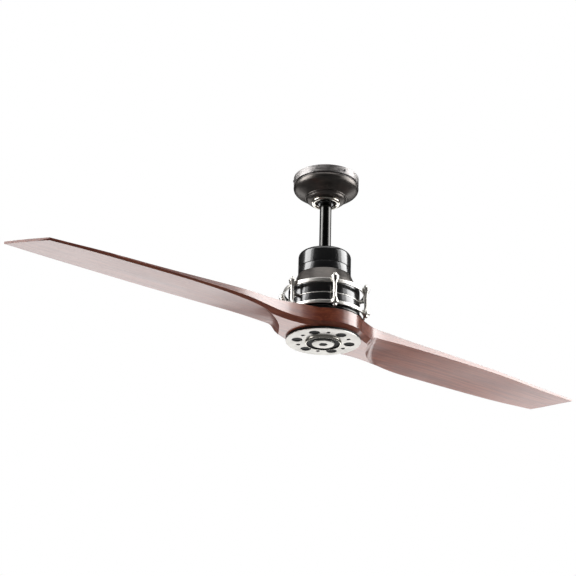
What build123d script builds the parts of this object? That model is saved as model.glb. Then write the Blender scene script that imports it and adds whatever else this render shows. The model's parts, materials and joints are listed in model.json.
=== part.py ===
"""Ceiling fan with a two-blade wooden propeller.

The fan hangs from a ceiling bracket: canopy, downrod, black motor housing inside a cage of
two hoops and six tension lugs, and a propeller clamped under the motor by a round face plate.
Frame: origin on the ceiling plane at the centre of the bracket, +Z up, blades along X.
Heights are given as up(h): h millimetres above a datum level just inside the face plate.
"""

import os
from math import cos, radians, sin

from build123d import *

os.makedirs("parts", exist_ok=True)

# ---- driving dimensions, in millimetres -------------------------------------------------
TIP_R = 762.0          # hub axis to the blade's tip, a 60 inch fan
DROP = 403.0           # ceiling to the datum level, just inside the underside of the face plate
ROD_R = 13.35          # 3/4 inch pipe, 26.7 mm outside
ROD_BORE_R = 11.0
CANOPY_R = 75.3
BALL_R = 24.0
BALL_Z = -31.3         # centre of the hanger ball
LINER_IN_R = 24.1      # the nylon liner between the ball and its seat
LINER_OUT_R = 25.9
LINER_INSET = 2.3      # leaves the liner room to swing above the bracket's foot
HOUSING_R = 59.5
DRUM_R = 80.0
DRUM_WALL = 1.6
HOOP_R = 92.0
HOOP_WALL = 3.6
LUG_COUNT = 6
LUG_CIRCLE_R = 97.0
LUG_TURN = 6.2         # degrees from the blade axis to the first lug
PLATE_R = 83.4
PLATE_DROP = 1.5       # the face plate reaches this far below the datum level
PLATE_T = 1.4
HOLE_CIRCLE_R = 58.8
BIG_HOLE_R = 12.0
BOLT_HOLE_R = 4.4
NUT_POCKET_R = 6.6     # hexagonal pockets for the clamp nuts, centre to corner
NUT_DEPTH = 14.0
HOLE_TURN = 3.3        # degrees from the blade axis to the first bolt
HUB_R = 88.0
HUB_TOP = 45.5         # top of the wooden hub
SHAFT_R = 8.5
SHAFT_BORE_R = 5.5
BEARING_R = 20.0
BEARING_T = 12.0
BOX_HOLE_SPACING = 88.9  # outlet box screw spacing, 3.5 inch


def up(h):
    """The z of a level h above the datum level."""
    return h - DROP


def save(part, name):
    """Labels a finished sub-part and writes its STEP file."""
    part.label = name
    export_step(part, f"parts/{name}.step")


def ring(outer, inner, bottom, top):
    """A plain round ring between two levels."""
    with BuildPart() as made:
        with BuildSketch(Plane.XY.offset(bottom)):
            Circle(outer)
            if inner > 0:
                Circle(inner, mode=Mode.SUBTRACT)
        extrude(amount=top - bottom)
    return made.part


def around(shape, count, turn=0.0):
    """Copies of a shape evenly spaced about the Z axis."""
    return Compound([shape.rotate(Axis.Z, turn + i * 360 / count) for i in range(count)])


# ======================= ceiling mount, fixed to the ceiling ==============================
BRACKET_T = 3.0
BRACKET_LEG_X = 30.0
BRACKET_FOOT_Z = -46.0
SOCKET_R = 19.5
with BuildPart() as hanger_bracket:
    with BuildSketch(Plane.XY):
        RectangleRounded(112, 46, 8)
        with Locations((-BOX_HOLE_SPACING / 2, 0), (BOX_HOLE_SPACING / 2, 0)):
            Circle(2.75, mode=Mode.SUBTRACT)
        Circle(12, mode=Mode.SUBTRACT)
    extrude(amount=-BRACKET_T)
    with BuildSketch(Plane.XY.offset(BRACKET_FOOT_Z)):
        RectangleRounded(2 * BRACKET_LEG_X + BRACKET_T, 46, 4)
        Circle(SOCKET_R, mode=Mode.SUBTRACT)
    extrude(amount=-BRACKET_T)
    with BuildSketch(Plane.XY.offset(BRACKET_FOOT_Z - BRACKET_T)):
        for side in (-1, 1):
            with Locations((side * BRACKET_LEG_X, 0)):
                Rectangle(BRACKET_T, 40)
    extrude(amount=-BRACKET_FOOT_Z)
save(hanger_bracket.part, "hanger_bracket")

SEAT_T = 7.0


def cup(outer, inner, bottom, top):
    """A ring about the ball's centre: round outside, or a ball shape, and a ball shape inside."""
    with BuildPart() as made:
        if outer > LINER_OUT_R:
            with BuildSketch(Plane.XY.offset(bottom)):
                Circle(outer)
            extrude(amount=top - bottom)
        else:
            with Locations((0, 0, BALL_Z)):
                Sphere(outer)
            with Locations((0, 0, (bottom + top) / 2)):
                Box(60, 60, top - bottom, mode=Mode.INTERSECT)
        with Locations((0, 0, BALL_Z)):
            Sphere(inner, mode=Mode.SUBTRACT)
    return made.part


save(cup(28.0, LINER_OUT_R + 0.1, BRACKET_FOOT_Z, BRACKET_FOOT_Z + SEAT_T), "ball_seat")
liner_low, liner_high = BRACKET_FOOT_Z + LINER_INSET, BRACKET_FOOT_Z + SEAT_T - LINER_INSET
save(cup(LINER_OUT_R, LINER_IN_R, liner_low, liner_high), "seat_liner")

RIM_T = 18.0
RIM_SKIRT_R = 71.6
RIM_SKIRT = 11.0       # how far the rim's skirt reaches down inside the bowl
with BuildPart() as canopy_rim:
    with BuildSketch(Plane.XZ):
        with BuildLine():
            Polyline(
                (70.0, 0), (CANOPY_R - 0.8, 0), (CANOPY_R, -0.8), (CANOPY_R, -RIM_T + 2.2),
                (CANOPY_R - 2.2, -RIM_T), (RIM_SKIRT_R, -RIM_T), (RIM_SKIRT_R, -RIM_T - RIM_SKIRT),
                (70.0, -RIM_T - RIM_SKIRT), close=True,
            )
        make_face()
    revolve(axis=Axis.Z)
save(canopy_rim.part, "canopy_rim")

# two straps carry the rim on the underside of the bracket's top plate
with BuildPart() as rim_straps:
    with BuildSketch(Plane.XY.offset(-BRACKET_T)):
        for side in (-1, 1):
            with Locations((0, side * 46.0)):
                Rectangle(18, 50)
        Circle(70.0, mode=Mode.INTERSECT)
    extrude(amount=-1.6)
save(rim_straps.part, "rim_straps")

RIM_SCREW_TURN = -94.0
with BuildPart() as rim_screw:
    with BuildSketch(Plane.YZ.offset(CANOPY_R)):
        with Locations((0, -RIM_T / 2)):
            Circle(2.8)
    extrude(amount=1.5)
    fillet(rim_screw.faces().sort_by(Axis.X)[-1].edges(), 1.0)
save(around(rim_screw.part, 3, RIM_SCREW_TURN), "rim_screws")

# ======================= canopy, slides down the downrod ==================================
BOWL_WALL = 1.5
BOWL_FLOOR = -60.0
TRIM_R = 28.5
BOWL_HOLE_R = 26.0
GAP = 0.5              # running gap between the bowl and the rim's skirt


def bowl_line(wall):
    """The bowl's profile from its hole to its mouth, moved in by a wall thickness."""
    Line((BOWL_HOLE_R, BOWL_FLOOR + wall), (39.0, BOWL_FLOOR + wall))
    Spline((39.0, BOWL_FLOOR + wall), (42.5 - wall, -57.4 + wall), (45.0 - wall, -53.0))
    Spline((45.0 - wall, -53.0), (50.0 - wall, -48.6 + wall), (62.0 - wall, -41.4 + wall),
           (70.6 - wall, -35.4 + wall), (74.6 - wall, -29.6), (CANOPY_R - wall, -26.0), (CANOPY_R - wall, -24.4))
    Line((CANOPY_R - wall, -24.4), (74.0 if wall == 0 else RIM_SKIRT_R + GAP, -20.6))


with BuildPart() as canopy_bowl:
    with BuildSketch(Plane.XZ):
        with BuildLine():
            bowl_line(0)
            bowl_line(BOWL_WALL)
            Line((BOWL_HOLE_R, BOWL_FLOOR), (BOWL_HOLE_R, BOWL_FLOOR + BOWL_WALL))
            Line((74.0, -20.6), (RIM_SKIRT_R + GAP, -20.6))
        make_face()
    revolve(axis=Axis.Z)
save(canopy_bowl.part, "canopy_bowl")

with BuildPart() as canopy_bead:
    with BuildSketch(Plane.XZ):
        with Locations((47.5, -51.2)):
            Circle(1.3)
    revolve(axis=Axis.Z)
    add(canopy_bowl.part, mode=Mode.SUBTRACT)
save(Compound([canopy_bead.part.solids().sort_by(SortBy.VOLUME)[-1]]), "canopy_bead")

with BuildPart() as canopy_trim_ring:
    with BuildSketch(Plane.XZ):
        with Locations((TRIM_R, BOWL_FLOOR - 2.4)):
            Ellipse(5.0, 3.6)
        with Locations((TRIM_R, BOWL_FLOOR + 5)):
            Rectangle(20, 10, mode=Mode.SUBTRACT)
    revolve(axis=Axis.Z)
save(canopy_trim_ring.part, "canopy_trim_ring")

# ======================= hanging body: rod, housings, cage, stator ========================
ROD_TOP = -16.0
ROD_BOTTOM = up(166.0)
PIN_R = 3.0
YOKE_PIN_Z = up(176.0)
with BuildPart() as downrod:
    with BuildSketch(Plane.XY.offset(ROD_BOTTOM)):
        Circle(ROD_R)
        Circle(ROD_BORE_R, mode=Mode.SUBTRACT)
    extrude(amount=ROD_TOP - ROD_BOTTOM)
    with Locations(Location((0, 0, BALL_Z), (90, 0, 0)), Location((0, 0, YOKE_PIN_Z), (90, 0, 0))):
        Cylinder(PIN_R + 0.05, 60, mode=Mode.SUBTRACT)
save(downrod.part, "downrod")

with BuildPart() as hanger_ball:
    with Locations((0, 0, BALL_Z)):
        Sphere(BALL_R)
    with BuildSketch(Plane.XY.offset(BALL_Z + 12.5)):
        Circle(40)
    extrude(amount=30, mode=Mode.SUBTRACT)
    with BuildSketch(Plane.XY.offset(BALL_Z - 17.5)):
        Circle(40)
    extrude(amount=-30, mode=Mode.SUBTRACT)
    with Locations((0, 0, BALL_Z)):
        Cylinder(ROD_R, 80, mode=Mode.SUBTRACT)
    with Locations(Location((0, 0, BALL_Z), (90, 0, 0))):
        Cylinder(PIN_R + 0.05, 60, mode=Mode.SUBTRACT)
save(hanger_ball.part, "hanger_ball")

with BuildPart() as ball_pin:
    with Locations(Location((0, 0, BALL_Z), (90, 0, 0))):
        Cylinder(PIN_R, 44)
    chamfer(ball_pin.faces().group_by(Axis.Y)[0].edges() + ball_pin.faces().group_by(Axis.Y)[-1].edges(), 0.6)
save(ball_pin.part, "ball_pin")

BUSH_R = 17.6
with BuildPart() as rod_bush:
    with BuildSketch(Plane.XY.offset(-66.0)):
        Circle(BUSH_R)
        Circle(ROD_R, mode=Mode.SUBTRACT)
    extrude(amount=12)
    fillet(rod_bush.faces().sort_by(Axis.Z)[0].edges().filter_by(GeomType.CIRCLE).sort_by(SortBy.RADIUS)[-1], 2.0)
save(rod_bush.part, "rod_bush")

LEAD_R = 1.3
lead_solids = []
connector_solids = []
for lead_x, lead_y, out_x in ((-7.0, 2.4, -15), (-7.0, -2.4, 0), (7.0, 0, 15)):
    lead_end = (out_x, 40, -24)
    with BuildPart() as lead:
        with BuildLine() as lead_path:
            FilletPolyline(
                (lead_x, lead_y, ROD_BOTTOM + 8), (lead_x, lead_y, -10 + lead_y / 2), (out_x, 28, -15), lead_end,
                radius=4.0,
            )
        with BuildSketch(Plane.XY.offset(ROD_BOTTOM + 8)):
            with Locations((lead_x, lead_y)):
                Circle(LEAD_R)
        sweep()
    lead_solids.append(lead.part)
    with BuildPart() as connector:
        with BuildSketch(Plane(origin=lead_end, z_dir=(0, 10, -9))):
            Circle(3.6)
        extrude(amount=12, taper=6)
    connector_solids.append(connector.part)
save(Compound(lead_solids), "supply_leads")
save(Compound(connector_solids), "wire_connectors")

YOKE_R = 20.0
YOKE_TOP = up(188.0)
YOKE_BOTTOM = up(138.0)
SHAFT_TOP = up(160.0)
with BuildPart() as yoke:
    with BuildSketch(Plane.XY.offset(YOKE_BOTTOM)):
        Circle(YOKE_R)
    extrude(amount=YOKE_TOP - YOKE_BOTTOM)
    with BuildSketch(Plane.XY.offset(YOKE_BOTTOM)):
        Circle(30)
    extrude(amount=5)
    with BuildSketch(Plane.XY.offset(ROD_BOTTOM)):
        Circle(ROD_R)
    extrude(amount=50, mode=Mode.SUBTRACT)
    with BuildSketch(Plane.XY.offset(YOKE_BOTTOM)):
        Circle(SHAFT_R)
    extrude(amount=SHAFT_TOP - YOKE_BOTTOM, mode=Mode.SUBTRACT)
    with BuildSketch(Plane.XY.offset(SHAFT_TOP)):
        Circle(6)
    extrude(amount=20, mode=Mode.SUBTRACT)
    with Locations(Location((0, 0, YOKE_PIN_Z), (90, 0, 0))):
        Cylinder(PIN_R + 0.05, 60, mode=Mode.SUBTRACT)
    with Locations(Location((YOKE_R, 0, YOKE_PIN_Z), (0, 90, 0))):
        Cylinder(3.0, 20, mode=Mode.SUBTRACT)
    with Locations(Location((-YOKE_R, 0, YOKE_PIN_Z), (0, 90, 0))):
        Cylinder(3.0, 20, mode=Mode.SUBTRACT)
save(yoke.part, "rod_yoke")

with BuildPart() as yoke_pin:
    with Locations(Location((0, 0, YOKE_PIN_Z), (90, 0, 0))):
        Cylinder(PIN_R, 52)
    with Locations(Location((0, -27.0, YOKE_PIN_Z), (90, 0, 0))):
        Cylinder(5.0, 2.0)
save(yoke_pin.part, "yoke_pin")

screw_solids = []
for side in (-1, 1):
    with BuildPart() as set_screw:
        with Locations(Location((side * (ROD_R + 5.4), 0, YOKE_PIN_Z), (0, 90, 0))):
            Cylinder(3.0, 10.6)
        with BuildSketch(Plane(origin=(side * (ROD_R + 10.7), 0, YOKE_PIN_Z), z_dir=(side, 0, 0))):
            RegularPolygon(1.6, 6)
        extrude(amount=-3, mode=Mode.SUBTRACT)
    screw_solids.append(set_screw.part)
save(Compound(screw_solids), "yoke_set_screws")

HOUSING_TOP = 210.0
SEAM = 171.0
HOUSING_BOTTOM = 154.0
SHOULDER_R = 10.5
with BuildPart() as top_housing:
    with BuildSketch(Plane.XY.offset(up(SEAM + 0.9))):
        Circle(HOUSING_R)
    extrude(amount=HOUSING_TOP - SEAM - 0.9)
    fillet(top_housing.faces().sort_by(Axis.Z)[-1].edges(), SHOULDER_R)
    chamfer(top_housing.faces().sort_by(Axis.Z)[0].edges(), 0.5)
    offset(amount=-1.6, openings=top_housing.faces().sort_by(Axis.Z)[0])
    with BuildSketch(Plane.XY.offset(up(SEAM))):
        Circle(ROD_R + 1.2)
    extrude(amount=60, mode=Mode.SUBTRACT)
save(top_housing.part, "top_housing")

with BuildPart() as housing_grommet:
    with BuildSketch(Plane.XZ):
        with BuildLine():
            Polyline(
                (ROD_R, up(HOUSING_TOP - 1)), (ROD_R + 1.2, up(HOUSING_TOP - 1)), (ROD_R + 1.2, up(HOUSING_TOP)),
                (ROD_R + 4.5, up(HOUSING_TOP)), (ROD_R + 4.0, up(HOUSING_TOP + 1.8)),
                (ROD_R, up(HOUSING_TOP + 2.6)), close=True,
            )
        make_face()
    revolve(axis=Axis.Z)
save(housing_grommet.part, "rod_grommet")

with BuildPart() as housing_ring:
    with BuildSketch(Plane.XY.offset(up(HOUSING_BOTTOM))):
        Circle(HOUSING_R)
    extrude(amount=SEAM - HOUSING_BOTTOM)
    chamfer(housing_ring.faces().sort_by(Axis.Z)[-1].edges(), 0.5)
    with BuildSketch(Plane.XY.offset(up(HOUSING_BOTTOM))):
        Circle(HOUSING_R - 2.0)
    extrude(amount=SEAM - HOUSING_BOTTOM, mode=Mode.SUBTRACT)
    with BuildSketch(Plane.XY.offset(up(HOUSING_BOTTOM))):
        Circle(HOUSING_R - 2.0)
        Circle(34, mode=Mode.SUBTRACT)
    extrude(amount=2.0)
save(housing_ring.part, "housing_ring")

DRUM_TOP = 118.0
with BuildPart() as skirt:
    with BuildSketch(Plane.XZ):
        with BuildLine():
            Polyline(
                (34.0, up(HOUSING_BOTTOM)), (HOUSING_R + 0.8, up(HOUSING_BOTTOM)), (72.4, up(124.0)),
                (73.4, up(DRUM_TOP + 2)), (78.0, up(DRUM_TOP + 2)), (78.0, up(DRUM_TOP)), (71.0, up(DRUM_TOP)),
                (70.6, up(124.0)), (59.0, up(HOUSING_BOTTOM - 1.8)), (34.0, up(HOUSING_BOTTOM - 1.8)), close=True,
            )
        make_face()
    revolve(axis=Axis.Z)
save(skirt.part, "housing_skirt")

BAND_LOW = 84.6
BAND_HIGH = 86.6
DRUM_BOTTOM = 59.0
ROTOR_PASS_R = 46.0
with BuildPart() as drum_upper:
    with BuildSketch(Plane.XY.offset(up(BAND_HIGH))):
        Circle(DRUM_R)
    extrude(amount=DRUM_TOP - BAND_HIGH)
    fillet(drum_upper.faces().sort_by(Axis.Z)[-1].edges(), 1.8)
    with BuildSketch(Plane.XY.offset(up(BAND_HIGH))):
        Circle(DRUM_R - DRUM_WALL)
    extrude(amount=DRUM_TOP - BAND_HIGH - 2.4, mode=Mode.SUBTRACT)
    with BuildSketch(Plane.XY.offset(up(DRUM_TOP))):
        Circle(24)
        with PolarLocations(40, 4):
            Circle(2.6)
    extrude(amount=-4, mode=Mode.SUBTRACT)
save(drum_upper.part, "drum_upper")

with BuildPart() as drum_band:
    with BuildSketch(Plane.XY.offset(up(BAND_LOW))):
        Circle(DRUM_R + 0.9)
        Circle(DRUM_R - DRUM_WALL, mode=Mode.SUBTRACT)
    extrude(amount=BAND_HIGH - BAND_LOW)
    fillet(drum_band.edges().filter_by(GeomType.CIRCLE).sort_by(SortBy.RADIUS)[-2:], 0.7)
save(drum_band.part, "drum_band")

with BuildPart() as drum_lower:
    with BuildSketch(Plane.XY.offset(up(DRUM_BOTTOM))):
        Circle(DRUM_R)
    extrude(amount=BAND_LOW - DRUM_BOTTOM)
    fillet(drum_lower.faces().sort_by(Axis.Z)[0].edges(), 1.8)
    with BuildSketch(Plane.XY.offset(up(DRUM_BOTTOM + 2.0))):
        Circle(DRUM_R - DRUM_WALL)
    extrude(amount=40, mode=Mode.SUBTRACT)
    with BuildSketch(Plane.XY.offset(up(DRUM_BOTTOM))):
        Circle(ROTOR_PASS_R)
    extrude(amount=4, mode=Mode.SUBTRACT)
save(drum_lower.part, "drum_lower")

UPPER_HOOP = (106.0, 115.4)
LOWER_HOOP = (55.6, 63.6)
for hoop_name, (low, high) in (("upper_hoop", UPPER_HOOP), ("lower_hoop", LOWER_HOOP)):
    with BuildPart() as hoop:
        with BuildSketch(Plane.XY.offset(up(low))):
            Circle(HOOP_R)
            Circle(HOOP_R - HOOP_WALL, mode=Mode.SUBTRACT)
        extrude(amount=high - low)
        fillet(hoop.edges(), 1.3)
    save(hoop.part, hoop_name)

LUG_MID = 86.0
LUG_HALF = 33.0
LUG_ROD_R = 4.0
LUG_END_R = 8.8
TIE_R = 2.4
TIE_END = 4.0
SLOT_W = 3.4
with BuildPart() as lug:
    lug_plane = Plane(origin=(LUG_CIRCLE_R, 0, up(LUG_MID)), x_dir=(1, 0, 0), z_dir=(0, -1, 0))
    with BuildSketch(lug_plane):
        with BuildLine():
            Line((TIE_R, -LUG_HALF), (LUG_END_R - 1.6, -LUG_HALF))
            Line((LUG_END_R - 1.6, -LUG_HALF), (LUG_END_R, -LUG_HALF + 1.6))
            Spline((LUG_END_R, -LUG_HALF + 1.6), (8.0, -26.5), (5.4, -19.5), (LUG_ROD_R, -12.0),
                   tangents=((-0.15, 1), (0, 1)))
            Line((LUG_ROD_R, -12), (LUG_ROD_R, 12))
            Spline((LUG_ROD_R, 12.0), (5.4, 19.5), (8.0, 26.5), (LUG_END_R, LUG_HALF - 1.6),
                   tangents=((0, 1), (0.15, 1)))
            Line((LUG_END_R, LUG_HALF - 1.6), (LUG_END_R - 1.6, LUG_HALF))
            Line((LUG_END_R - 1.6, LUG_HALF), (TIE_R, LUG_HALF))
            Line((TIE_R, LUG_HALF), (TIE_R, -LUG_HALF))
        make_face()
    revolve(axis=Axis((LUG_CIRCLE_R, 0, 0), (0, 0, 1)))
    with BuildSketch(Plane.XY.offset(up(0))):
        Circle(HOOP_R)
    extrude(amount=200, mode=Mode.SUBTRACT)
    for end in (-1, 1):
        with Locations((LUG_CIRCLE_R + 10, 0, up(LUG_MID + end * (LUG_HALF - 4)))):
            Box(20, SLOT_W, 20, mode=Mode.SUBTRACT)
save(around(lug.part, LUG_COUNT, LUG_TURN), "tension_lugs")

with BuildPart() as tie_rod:
    with BuildSketch(Plane.XY.offset(up(LUG_MID - LUG_HALF - TIE_END))):
        with Locations((LUG_CIRCLE_R, 0)):
            Circle(TIE_R)
    extrude(amount=2 * (LUG_HALF + TIE_END))
save(around(tie_rod.part, LUG_COUNT, LUG_TURN), "tie_rods")

NUT_R = 5.0
NUT_FLAT = 3.0
nut_solids = []
for end, dome in ((-1, 2.8), (1, 4.4)):
    with BuildPart() as nut:
        nut_plane = Plane(origin=(LUG_CIRCLE_R, 0, up(LUG_MID + end * LUG_HALF)), z_dir=(0, 0, end))
        with BuildSketch(nut_plane):
            RegularPolygon(NUT_R, 6)
        extrude(amount=NUT_FLAT)
        with BuildSketch(nut_plane.offset(NUT_FLAT)):
            Circle(NUT_R * 0.84)
        extrude(amount=dome)
        fillet(nut.faces().sort_by(Axis.Z)[-1 if end > 0 else 0].edges(), dome * 0.9)
        with BuildSketch(nut_plane):
            Circle(TIE_R)
        extrude(amount=TIE_END, mode=Mode.SUBTRACT)
    nut_solids += [nut.part.rotate(Axis.Z, LUG_TURN + i * 60) for i in range(LUG_COUNT)]
save(Compound(nut_solids), "lug_cap_nuts")

with BuildPart() as standoff:
    with BuildSketch(Plane.YZ.offset(DRUM_R + 0.9)):
        with Locations((0, up(LUG_MID))):
            Circle(3.6)
    extrude(amount=HOOP_R - DRUM_R - 0.9)
save(around(standoff.part, LUG_COUNT, LUG_TURN), "cage_standoffs")

RIVET_TURN = 3.6       # degrees from each lug to its rivets
rivet_solids = []
for low, high in (UPPER_HOOP, LOWER_HOOP):
    with BuildPart() as rivet:
        with BuildSketch(Plane.YZ.offset(HOOP_R - HOOP_WALL - 0.02)):
            with Locations((0, up((low + high) / 2))):
                Circle(1.7)
        extrude(amount=-1.2)
    for i in range(LUG_COUNT):
        for side in (-RIVET_TURN, RIVET_TURN):
            rivet_solids.append(rivet.part.rotate(Axis.Z, LUG_TURN + i * 60 + side))
save(Compound(rivet_solids), "hoop_rivets")

# ---- stator ------------------------------------------------------------------------------
SHAFT_BOTTOM = 56.5
with BuildPart() as motor_shaft:
    with BuildSketch(Plane.XY.offset(up(SHAFT_BOTTOM))):
        Circle(SHAFT_R)
        Circle(SHAFT_BORE_R, mode=Mode.SUBTRACT)
    extrude(amount=SHAFT_TOP - up(SHAFT_BOTTOM))
save(motor_shaft.part, "motor_shaft")

with BuildPart() as motor_bracket:
    with BuildSketch(Plane.XY.offset(up(DRUM_TOP))):
        Circle(48)
        Circle(SHAFT_R, mode=Mode.SUBTRACT)
    extrude(amount=3)
    with BuildSketch(Plane.XY.offset(up(DRUM_TOP + 3))):
        Circle(30)
        Circle(SHAFT_R, mode=Mode.SUBTRACT)
    extrude(amount=YOKE_BOTTOM - up(DRUM_TOP + 3))
save(motor_bracket.part, "motor_bracket")

with BuildPart() as drum_screw:
    with BuildSketch(Plane.XY.offset(up(DRUM_TOP + 3))):
        with Locations((40, 0)):
            Circle(4.2)
    extrude(amount=2.6)
    fillet(drum_screw.faces().sort_by(Axis.Z)[-1].edges(), 1.6)
    with BuildSketch(Plane.XY.offset(up(DRUM_TOP + 3.0 + 2.6))):
        with Locations((40, 0)):
            Rectangle(6.4, 1.0)
            Rectangle(1.0, 6.4)
    extrude(amount=-1.2, mode=Mode.SUBTRACT)
save(around(drum_screw.part, 4), "housing_screws")

STATOR_LOW = 77.0
STATOR_HIGH = 95.0
STATOR_R = 56.0
TEETH = 12
with BuildPart() as stator_core:
    with BuildSketch(Plane.XY.offset(up(STATOR_LOW))):
        Circle(28)
        with PolarLocations(0, TEETH):
            with Locations((38, 0)):
                Rectangle(34, 7)
        Circle(SHAFT_R, mode=Mode.SUBTRACT)
    extrude(amount=STATOR_HIGH - STATOR_LOW)
    with BuildSketch(Plane.XY.offset(up(STATOR_LOW))):
        Circle(STATOR_R)
        Circle(STATOR_R - 3.5, mode=Mode.SUBTRACT)
        with PolarLocations(STATOR_R, TEETH, start_angle=180 / TEETH):
            Rectangle(14, 3.2, mode=Mode.SUBTRACT)
    extrude(amount=STATOR_HIGH - STATOR_LOW)
save(stator_core.part, "stator_core")

with BuildPart() as coil:
    with BuildSketch(Plane.YZ.offset(31.0)):
        with Locations((0, up((STATOR_LOW + STATOR_HIGH) / 2))):
            RectangleRounded(13.6, STATOR_HIGH - STATOR_LOW + 8.6, 4.0)
            Rectangle(7.0, STATOR_HIGH - STATOR_LOW, mode=Mode.SUBTRACT)
    extrude(amount=20.5)
save(around(coil.part, TEETH), "stator_coils")

LOWER_BEARING = 58.5
UPPER_BEARING = 99.5
BEARING_BALL_R = 3.1
RACE_R = 14.25          # bearing axis to the centres of its balls
inner_rings = []
outer_rings = []
balls = []
for level in (LOWER_BEARING, UPPER_BEARING):
    race_plane = Plane.XY.offset(up(level))
    with BuildPart() as inner_ring:
        with BuildSketch(race_plane):
            Circle(12.0)
            Circle(SHAFT_R, mode=Mode.SUBTRACT)
        extrude(amount=BEARING_T)
        with BuildSketch(Plane.XZ):
            with Locations((RACE_R, up(level + BEARING_T / 2))):
                Circle(BEARING_BALL_R)
        revolve(axis=Axis.Z, mode=Mode.SUBTRACT)
    inner_rings.append(inner_ring.part)
    with BuildPart() as outer_ring:
        with BuildSketch(race_plane):
            Circle(BEARING_R)
            Circle(16.5, mode=Mode.SUBTRACT)
        extrude(amount=BEARING_T)
        with BuildSketch(Plane.XZ):
            with Locations((RACE_R, up(level + BEARING_T / 2))):
                Circle(BEARING_BALL_R + 0.25)
        revolve(axis=Axis.Z, mode=Mode.SUBTRACT)
    outer_rings.append(outer_ring.part)
    for i in range(8):
        with BuildPart() as ball:
            turn = radians(45 * i)
            with Locations((RACE_R * cos(turn), RACE_R * sin(turn), up(level + BEARING_T / 2))):
                Sphere(BEARING_BALL_R)
        balls.append(ball.part)
save(Compound(inner_rings), "bearing_inner_rings")
save(Compound(outer_rings), "bearing_outer_rings")
save(Compound(balls), "bearing_balls")

with BuildPart() as run_capacitor:
    with BuildSketch(Plane.XY.offset(up(HOUSING_BOTTOM + 2.0))):
        with Locations((0, 38)):
            RectangleRounded(46, 22, 3)
    extrude(amount=30)
save(run_capacitor.part, "run_capacitor")

with BuildPart() as receiver:
    with BuildSketch(Plane.XY.offset(up(HOUSING_BOTTOM + 2.0))):
        with Locations((0, -40)):
            RectangleRounded(52, 20, 2)
    extrude(amount=34)
save(receiver.part, "control_receiver")

# ======================= rotor: turns about the Z axis ====================================
ROTOR_R = 73.0
COVER_T = 3.0
ROTOR_LOW = 64.0
ROTOR_HIGH = 107.0
with BuildPart() as rotor_cover_lower:
    with BuildSketch(Plane.XY.offset(up(ROTOR_LOW))):
        Circle(ROTOR_R)
        with PolarLocations(50, 6):
            Circle(7, mode=Mode.SUBTRACT)
    extrude(amount=COVER_T)
    with BuildSketch(Plane.XY.offset(up(52.5))):
        Circle(27)
    extrude(amount=LOWER_BEARING + BEARING_T - 52.5)
    with BuildSketch(Plane.XY.offset(up(LOWER_BEARING))):
        Circle(BEARING_R)
    extrude(amount=30, mode=Mode.SUBTRACT)
    with BuildSketch(Plane.XY.offset(up(52.5))):
        Circle(11)
        with PolarLocations(20.5, 4):
            Circle(2.5)
    extrude(amount=6, mode=Mode.SUBTRACT)
save(rotor_cover_lower.part, "rotor_cover_lower")

with BuildPart() as rotor_cover_upper:
    with BuildSketch(Plane.XY.offset(up(ROTOR_HIGH - COVER_T))):
        Circle(ROTOR_R)
        with PolarLocations(50, 6):
            Circle(7, mode=Mode.SUBTRACT)
    extrude(amount=COVER_T)
    with BuildSketch(Plane.XY.offset(up(UPPER_BEARING))):
        Circle(26)
    extrude(amount=BEARING_T + 2)
    with BuildSketch(Plane.XY.offset(up(UPPER_BEARING))):
        Circle(BEARING_R)
    extrude(amount=BEARING_T, mode=Mode.SUBTRACT)
    with BuildSketch(Plane.XY.offset(up(UPPER_BEARING + BEARING_T))):
        Circle(11)
    extrude(amount=2, mode=Mode.SUBTRACT)
save(rotor_cover_upper.part, "rotor_cover_upper")

RING_BORE_R = 61.0
save(ring(ROTOR_R, RING_BORE_R, up(ROTOR_LOW + COVER_T), up(ROTOR_HIGH - COVER_T)), "rotor_ring")

MAGNETS = 14
with BuildPart() as magnet:
    with BuildSketch(Plane.XY.offset(up(STATOR_LOW - 1))):
        Circle(RING_BORE_R)
        Circle(RING_BORE_R - 3.0, mode=Mode.SUBTRACT)
        with Locations((60, 0)):
            Rectangle(30, 22, mode=Mode.INTERSECT)
    extrude(amount=STATOR_HIGH - STATOR_LOW + 2)
save(around(magnet.part, MAGNETS), "rotor_magnets")

CARRIER = (47.6, 52.5)
CARRIER_R = 86.5
BOLT_R = 3.0
with BuildPart() as blade_carrier:
    with BuildSketch(Plane.XY.offset(up(CARRIER[0]))):
        Circle(CARRIER_R)
        Circle(9, mode=Mode.SUBTRACT)
        with PolarLocations(HOLE_CIRCLE_R, 6, start_angle=HOLE_TURN):
            Circle(BOLT_R, mode=Mode.SUBTRACT)
        with PolarLocations(20.5, 4):
            Circle(2.5, mode=Mode.SUBTRACT)
    extrude(amount=CARRIER[1] - CARRIER[0])
    fillet(blade_carrier.edges().filter_by(GeomType.CIRCLE).sort_by(SortBy.RADIUS)[-2:], 1.2)
save(blade_carrier.part, "blade_carrier")

with BuildPart() as carrier_bolt:
    with BuildSketch(Plane.XY.offset(up(CARRIER[0]))):
        with Locations((20.5, 0)):
            Circle(2.5)
    extrude(amount=8)
    with BuildSketch(Plane.XY.offset(up(CARRIER[0]))):
        with Locations((20.5, 0)):
            Circle(4.4)
    extrude(amount=-3.4)
save(around(carrier_bolt.part, 4), "carrier_bolts")

GASKET_R = 85.0
with BuildPart() as hub_gasket:
    with BuildSketch(Plane.XY.offset(up(HUB_TOP))):
        Circle(GASKET_R)
        Circle(28, mode=Mode.SUBTRACT)
        with PolarLocations(HOLE_CIRCLE_R, 6, start_angle=HOLE_TURN):
            Circle(BOLT_R, mode=Mode.SUBTRACT)
    extrude(amount=CARRIER[0] - HUB_TOP)
save(hub_gasket.part, "hub_gasket")

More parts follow.
